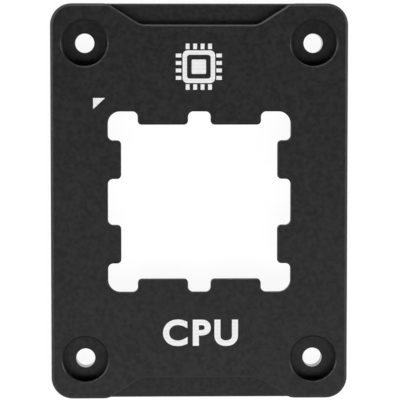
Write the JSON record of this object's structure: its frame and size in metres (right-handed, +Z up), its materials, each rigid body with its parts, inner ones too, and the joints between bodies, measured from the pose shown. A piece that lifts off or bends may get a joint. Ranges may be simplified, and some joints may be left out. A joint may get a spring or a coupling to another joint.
{
  "type": "cpu socket retention frame",
  "caption": "Milled black aluminium plate that clamps a processor into its socket, with a tabbed window, sunk screw seats and a low step in the middle of each end.",
  "frame": {"origin": "middle of the window, on the underside that lies on the board", "axes": "+Z up towards the cooler, +Y along the frame's length, +X across it"},
  "size_m": [0.054, 0.072, 0.006],
  "materials": {
    "anodised_plate": "fine bead-blasted and black anodised, satin"
  },
  "bodies": {
    "root": {"retention_frame": "anodised_plate"}
  },
  "joints": []
}
